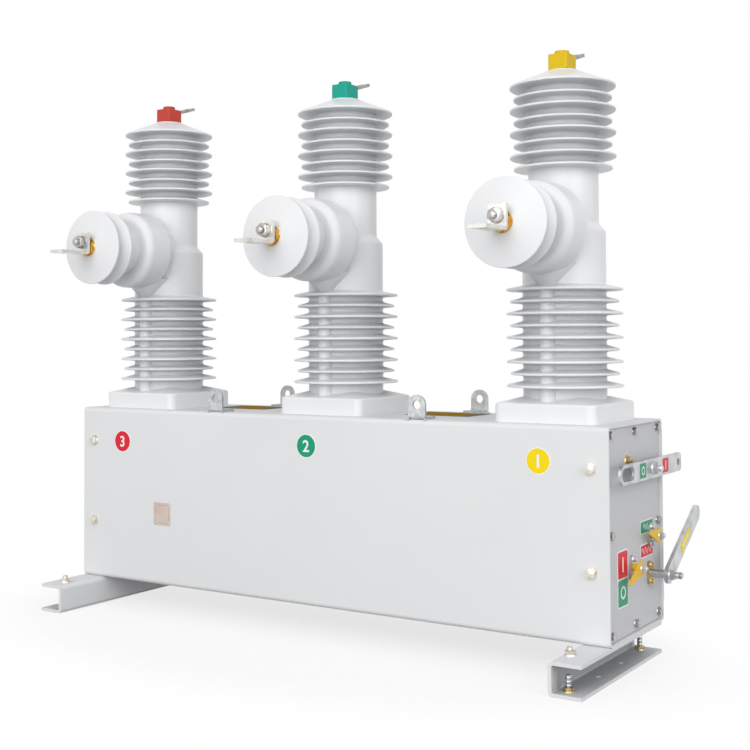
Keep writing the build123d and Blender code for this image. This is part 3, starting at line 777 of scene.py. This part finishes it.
def label(name, seat, layers, body):
    """A stack of films: each layer is a list of prisms' outlines and its finish."""
    work = bmesh.new()
    mesh = bpy.data.meshes.new(name)
    for index, (shapes, finish) in enumerate(layers):
        top = FILM_MM + index * LAYER_MM
        for outlines in shapes:
            prism(work, outlines, seat, 0 if index == 0 else top - 2 * LAYER_MM, top, index)
        mesh.materials.append(finish)
    bmesh.ops.recalc_face_normals(work, faces=work.faces)
    work.to_mesh(mesh)
    work.free()
    print(name, "on", body, "-", len(layers), "layers")
    keep(name, mesh, body)


def numeral(name, character, height_mm, seat, lift_mm, finish, body):
    """A plain numeral, cut from film and set on a label."""
    curve = bpy.data.curves.new(name, "FONT")
    curve.body = character
    curve.size = height_mm * MM / FIGURE_SHARE
    curve.align_x = "CENTER"
    curve.extrude = LAYER_MM * MM
    curve.offset = NUMERAL_WEIGHT_MM * MM
    holder = bpy.data.objects.new(name + "_holder", curve)
    scene.collection.objects.link(holder)
    evaluated = holder.evaluated_get(bpy.context.evaluated_depsgraph_get())
    mesh = bpy.data.meshes.new_from_object(evaluated)
    bpy.data.objects.remove(holder)
    middle = Vector((0, -height_mm * MM / 2, lift_mm * MM))
    mesh.transform(seat @ Matrix.Translation(middle))
    mesh.name = name
    mesh.materials.clear()
    mesh.materials.append(finish)
    keep(name, mesh, body)


print("label helpers ready; film is", FILM_MM, "mm thick")

# %% [markdown]
# ## Phase discs and the rating plate
#
# A disc in the phase colour sits on the tank's front below each pole, with a thin white rim and a
# numeral. Near the left end is the rating plate, a small square of etched aluminium on four rivets,
# left blank.

# %% Phase discs and rating plate
DISC_RADIUS, DISC_RIM, NUMERAL_MM = 18.6, 1.4, 17.5
NUMERAL_LIFT = FILM_MM + LAYER_MM
disc_places = {
    "left": (-394, 234.5, red_film, "3", "cap_red"),
    "middle": (-6.5, 243.5, green_film, "2", "cap_green"),
    "right": (384, 240.5, yellow_film, "1", "cap_yellow"),
}
for phase, (across, rise, film, character, record_slot) in disc_places.items():
    seat = seat_on(on_front(across, rise), outward, up)
    layers = [([[circle(DISC_RADIUS)]], white_film), ([[circle(DISC_RADIUS - DISC_RIM)]], film)]
    label(phase + "_phase_disc", seat, layers, "breaker")
    name = phase + "_numeral"
    numeral(name, character, NUMERAL_MM, seat, NUMERAL_LIFT, white_film, "breaker")

PLATE_ACROSS, PLATE_RISE = -303.5, 117.5
PLATE_WIDTH, PLATE_HEIGHT, PLATE_ROUND, PLATE_HOLE_IN = 37, 38, 2.5, 4
LINE_OUTER, LINE_INNER = 7, 9  # how much smaller than the plate the edges of its frame line are
LINE_OUTER_ROUND, LINE_INNER_ROUND = 2, 1.5
plate_seat = seat_on(on_front(PLATE_ACROSS, PLATE_RISE), outward, up)
rim_line = [
    rounded(PLATE_WIDTH - LINE_OUTER, PLATE_HEIGHT - LINE_OUTER, LINE_OUTER_ROUND),
    rounded(PLATE_WIDTH - LINE_INNER, PLATE_HEIGHT - LINE_INNER, LINE_INNER_ROUND),
]
label("rating_plate", plate_seat, [
    ([[rounded(PLATE_WIDTH, PLATE_HEIGHT, PLATE_ROUND)]], etched),
    ([rim_line], stainless),
], "breaker")

# %% [markdown]
# The rivets are dome heads, and a dome that repeats is again a small tree: a ball, flattened and sunk
# to its widest ring, on every seat.

# %% The rivet tree
RIVET = {"Head width": 4, "Head height": 2.2}
rivet_tree, given = fastener_tree("dome_rivet", RIVET)
ball = add(rivet_tree, "GeometryNodeMeshUVSphere", {"Segments": 16, "Rings": 8, "Radius": 0.5})
rivet_size = add(rivet_tree, "ShaderNodeCombineXYZ", {
    "X": given["Head width"], "Y": given["Head width"], "Z": given["Head height"],
})
dome = add(rivet_tree, "GeometryNodeTransform", {"Geometry": ball, "Scale": rivet_size})
seat_and_finish(rivet_tree, given, [dome], seed=2)
rivets = []
rivet_x, rivet_y = PLATE_WIDTH / 2 - PLATE_HOLE_IN, PLATE_HEIGHT / 2 - PLATE_HOLE_IN
for sx in (-1, 1):
    for sy in (-1, 1):
        corner = Vector((sx * rivet_x, sy * rivet_y, FILM_MM))
        rivets.append((plate_seat @ (corner * MM), front))
fasten("rating_plate_rivets", rivet_tree, rivets, RIVET, stainless, "breaker")

# %% [markdown]
# ## Labels of the mechanism end
#
# The position pointer moves between a red panel with a bar, for on, and a green panel with a ring, for
# off. The spring pointer moves between a green panel with a tight zigzag and a red one with a loose
# zigzag. The lever has a small green and a small red patch, and the handle a yellow one with a
# two-way arrow. Two plain grey films with an ochre panel lie on the tank's top between the poles.

# %% Mechanism labels
def end_seat(y, z, x=plate_high.x, angle=0.0):
    """A seat on the right end, at a place in metres, turned by an angle in degrees."""
    turn = math.radians(angle)
    return seat_on((x, y, z), (0, math.cos(turn), math.sin(turn)), (0, -math.sin(turn), math.cos(turn)))


def on_end(setback_mm, rise_mm):
    """A seat on the right end plate, by its distance from the tank's front and above its underside."""
    return end_seat(tank_low.y + setback_mm * MM, tank_low.z + rise_mm * MM)


POSITION_SETBACK, POSITION_RISE = 54.5, 82.5
POSITION_WIDTH, POSITION_HEIGHT, WHITE_EDGE = 38, 77, 2.0
POSITION_ROUND, HALF_ROUND = 4, 3
BAR_WIDTH, BAR_HEIGHT, BAR_ROUND, RING_OUTER, RING_INNER = 3.6, 20, 0.8, 9, 6
half = (POSITION_WIDTH - 2 * WHITE_EDGE, (POSITION_HEIGHT - 3 * WHITE_EDGE) / 2)
half_rise = (half[1] + WHITE_EDGE) / 2
on_bar = [rounded(BAR_WIDTH, BAR_HEIGHT, BAR_ROUND, (0, half_rise))]
off_ring = [circle(radius, (0, -half_rise)) for radius in (RING_OUTER, RING_INNER)]
label("position_label", on_end(POSITION_SETBACK, POSITION_RISE), [
    ([[rounded(POSITION_WIDTH, POSITION_HEIGHT, POSITION_ROUND)]], white_film),
    ([[rounded(*half, HALF_ROUND, (0, half_rise))]], red_film),
    ([[rounded(*half, HALF_ROUND, (0, -half_rise))]], green_film),
    ([on_bar, off_ring], white_film),
], "breaker")

SPRING_SETBACK, SPRING_WIDTH, SPRING_HEIGHT, SPRING_EDGE = 145, 49, 19, 1.5
SPRING_ROUND, SPRING_PANEL_ROUND = 2.5, 1.5
COIL_HALF_TURNS, COIL_HALF_HEIGHT, COIL_END, COIL_STROKE = 3, 4.2, 4, 1.4
half_turns = range(-COIL_HALF_TURNS, COIL_HALF_TURNS + 1)
for name, rise, film, pitch in (("charged", 141, green_film, 3.4), ("released", 108, red_film, 5.6)):
    coil = [(pitch * i, -COIL_HALF_HEIGHT * (-1) ** i) for i in half_turns]
    reach = COIL_HALF_TURNS * pitch + COIL_END
    zigzag = [(-reach, 0), *coil, (reach, 0)]
    panel = (SPRING_WIDTH - 2 * SPRING_EDGE, SPRING_HEIGHT - 2 * SPRING_EDGE)
    label(f"spring_{name}_label", on_end(SPRING_SETBACK, rise), [
        ([[rounded(SPRING_WIDTH, SPRING_HEIGHT, SPRING_ROUND)]], white_film),
        ([[rounded(*panel, SPRING_PANEL_ROUND)]], film),
        ([[ribbon(zigzag, COIL_STROKE)]], white_film),
    ], "breaker")

PATCH_WIDTH, PATCH_HEIGHT, PATCH_ROUND = 22, 20, 1.5
SMALL_BAR, SMALL_RING = (2.4, 13, 0.6), (6, 4)  # width, height and rounding; outer and inner radius
for name, along, film, mark in (("off", -42, green_film, [circle(radius) for radius in SMALL_RING]),
                                ("on", 46, red_film, [rounded(*SMALL_BAR)])):
    label(f"lever_{name}_label", end_seat(pivot.y + along * MM, pivot.z, pivot.x), [
        ([[rounded(PATCH_WIDTH, PATCH_HEIGHT, PATCH_ROUND)]], film),
        ([mark], white_film),
    ], "lever")

HANDLE_ANGLE, HANDLE_LABEL_REACH = 31, 76 * MM
reach_y = HANDLE_LABEL_REACH * math.cos(math.radians(HANDLE_ANGLE))
reach_z = HANDLE_LABEL_REACH * math.sin(math.radians(HANDLE_ANGLE))
STRIP_WIDTH, STRIP_HEIGHT, STRIP_ROUND = 42, 14, 1.5
TIP, NECK, BARB, SHANK = 15, 10, 4, 1.3  # half-lengths and half-widths of the two-way arrow
half_arrow = [(NECK, SHANK), (NECK, BARB), (TIP, 0), (NECK, -BARB), (NECK, -SHANK)]
arrow = half_arrow + [(-x, -y) for x, y in half_arrow]
label("handle_label", end_seat(hub.y + reach_y, hub.z + reach_z, hub.x, HANDLE_ANGLE), [
    ([[rounded(STRIP_WIDTH, STRIP_HEIGHT, STRIP_ROUND)]], yellow_film),
    ([[arrow]], white_film),
], "handle")

TOP_FILM_SETBACK, TOP_FILM_WIDTH, TOP_FILM_DEPTH, TOP_FILM_ROUND = 130, 112, 80, 3
TOP_PANEL_WIDTH, TOP_PANEL_DEPTH, TOP_PANEL_ROUND = 74, 66, 2
for name, across in (("left", -215), ("right", 170)):
    seat = seat_on((across * MM, tank_low.y + TOP_FILM_SETBACK * MM, tank_high.z), outward, back)
    label(name + "_top_film", seat, [
        ([[rounded(TOP_FILM_WIDTH, TOP_FILM_DEPTH, TOP_FILM_ROUND)]], grey_film),
        ([[rounded(TOP_PANEL_WIDTH, TOP_PANEL_DEPTH, TOP_PANEL_ROUND)]], ochre_film),
    ], "breaker")

# %% [markdown]
# ## Floor, light and camera
#
# The picture is a studio shot on white. The floor takes a soft shadow in an oval patch and fades out to
# the white world. Both are pure white only to the camera, mirrors and glass, which a Light Path node
# tells apart. For all other rays the floor is grey and the world is a weaker fill: brightest in a band at
# the horizon, like the walls of a white room, and dimmer above and below it. Two large area lamps do the
# rest: a broad one in front and a weaker one on the right. The camera stands at about half the breaker's
# height, and a small shift frames the object as in the picture.

# %% Floor and world
FLOOR_HALF = 6.0
SHADOW_REACH = (0.72, 0.42, 1.0)  # half-axes of the patch of floor that shows the shadow
FADE_FROM = 0.6  # share of that reach at which the patch starts to fade
SHADOW_SHARE = 0.28  # how much of the lit floor shows in the white one


def seen_plainly(tree):
    """A switch that is 1 for what the camera, a mirror or glass sees, and 0 for light on its way."""
    ray = add(tree, "ShaderNodeLightPath").outputs
    mirrored = add(tree, "ShaderNodeMath", {
        0: ray["Is Glossy Ray"], 1: ray["Is Transmission Ray"],
    }, operation="MAXIMUM")
    return add(tree, "ShaderNodeMath", {0: ray["Is Camera Ray"], 1: mirrored}, operation="MAXIMUM")


floor_mesh = bpy.data.meshes.new("studio_floor")
floor_corners = [(sx * FLOOR_HALF, sy * FLOOR_HALF, 0) for sx, sy in ((-1, -1), (1, -1), (1, 1), (-1, 1))]
floor_mesh.from_pydata(floor_corners, [], [(0, 1, 2, 3)])
floor = bpy.data.objects.new("studio_floor", floor_mesh)
scene.collection.objects.link(floor)
floor_white, tree, place = blank_material("studio_floor_white")
spread = add(tree, "ShaderNodeVectorMath", {0: place, 1: SHADOW_REACH}, operation="DIVIDE")
away = add(tree, "ShaderNodeVectorMath", {0: spread}, operation="LENGTH")
fade = add(tree, "ShaderNodeMapRange", {
    0: away.outputs["Value"], 1: FADE_FROM, 2: 1.0,
}, interpolation_type="SMOOTHSTEP")
white = add(tree, "ShaderNodeEmission", {"Color": linear("#FFFFFF"), "Strength": 1.0})
matt = add(tree, "ShaderNodeBsdfDiffuse", {"Color": linear("#FAFAFA")})
shaded = add(tree, "ShaderNodeMixShader", {0: SHADOW_SHARE, 1: white, 2: matt})
dim = add(tree, "ShaderNodeBsdfDiffuse", {"Color": linear("#A0A0A0")})
surface = add(tree, "ShaderNodeMixShader", {0: seen_plainly(tree), 1: dim, 2: shaded})
clear = add(tree, "ShaderNodeBsdfTransparent")
blend = add(tree, "ShaderNodeMixShader", {0: fade, 1: surface, 2: clear})
add(tree, "ShaderNodeOutputMaterial", {"Surface": blend})
floor_mesh.materials.append(floor_white)

# The fill's colours by height, from straight down at 0 to straight up at 1
FILL_STOPS = ((0.0, "#A4A4A4"), (0.48, "#A4A4A4"), (0.54, "#EFEFEF"), (1.0, "#A4A4A4"))
world = bpy.data.worlds.new("white_studio")
scene.world = world
world.use_nodes = True
tree = world.node_tree
tree.nodes.clear()
white = add(tree, "ShaderNodeBackground", {"Color": linear("#FFFFFF"), "Strength": 1.0})
direction = add(tree, "ShaderNodeTexCoord").outputs["Generated"]
towards = add(tree, "ShaderNodeSeparateXYZ", {0: direction}).outputs
height = add(tree, "ShaderNodeMapRange", {0: towards["Z"], 1: -1.0, 2: 1.0})
ramp = add(tree, "ShaderNodeValToRGB", {"Fac": height})
stops = ramp.color_ramp.elements
while len(stops) < len(FILL_STOPS):
    stops.new(0.5)
for stop, (position, hue) in zip(stops, FILL_STOPS):
    stop.position = position
    stop.color = linear(hue)
fill = add(tree, "ShaderNodeBackground", {"Color": ramp, "Strength": 1.0})
both = add(tree, "ShaderNodeMixShader", {0: seen_plainly(tree), 1: fill, 2: white})
add(tree, "ShaderNodeOutputWorld", {"Surface": both})
print("floor patch, mm:", [round(2 * reach / MM) for reach in SHADOW_REACH[:2]], "fill stops:", len(stops))

# %% Lamps and camera
def softbox(name, at, aim, size, watts):
    """A large square area lamp that faces a point."""
    lamp = bpy.data.lights.new(name, "AREA")
    lamp.shape = "SQUARE"
    lamp.size = size
    lamp.energy = watts
    box = bpy.data.objects.new(name, lamp)
    box.location = at
    box.rotation_euler = (Vector(aim) - Vector(at)).to_track_quat("-Z", "Y").to_euler()
    scene.collection.objects.link(box)


AIM = (0, 0.05, 0.4)
FRONT_LAMP, FRONT_SIZE, FRONT_WATTS = (0.8, -4.0, 1.9), 4.0, 116
RIGHT_LAMP, RIGHT_SIZE, RIGHT_WATTS = (4.4, -1.5, 2.0), 3.0, 60
softbox("front_softbox", FRONT_LAMP, AIM, FRONT_SIZE, FRONT_WATTS)
softbox("right_softbox", RIGHT_LAMP, AIM, RIGHT_SIZE, RIGHT_WATTS)

EYE_AT = (1.1114, -1.5696, 0.4551)
FOCAL_PX, FRAME_PX, PRINCIPAL_DOWN_PX = 1225.8, 750, 298.8
YAW, PITCH, ROLL = math.radians(33.055), math.radians(1.782), math.radians(-0.276)
camera = bpy.data.cameras.new("camera")
camera.sensor_width = 36
camera.lens = FOCAL_PX / FRAME_PX * camera.sensor_width
camera.shift_y = PRINCIPAL_DOWN_PX / FRAME_PX - 0.5
eye = bpy.data.objects.new("camera", camera)
eye.matrix_world = (Matrix.Translation(EYE_AT) @ Matrix.Rotation(YAW, 4, "Z")
                    @ Matrix.Rotation(math.pi / 2 + PITCH, 4, "X") @ Matrix.Rotation(ROLL, 4, "Z"))
scene.collection.objects.link(eye)
scene.camera = eye
scene.view_settings.view_transform = "Standard"
print("camera lens", round(camera.lens, 2), "mm")
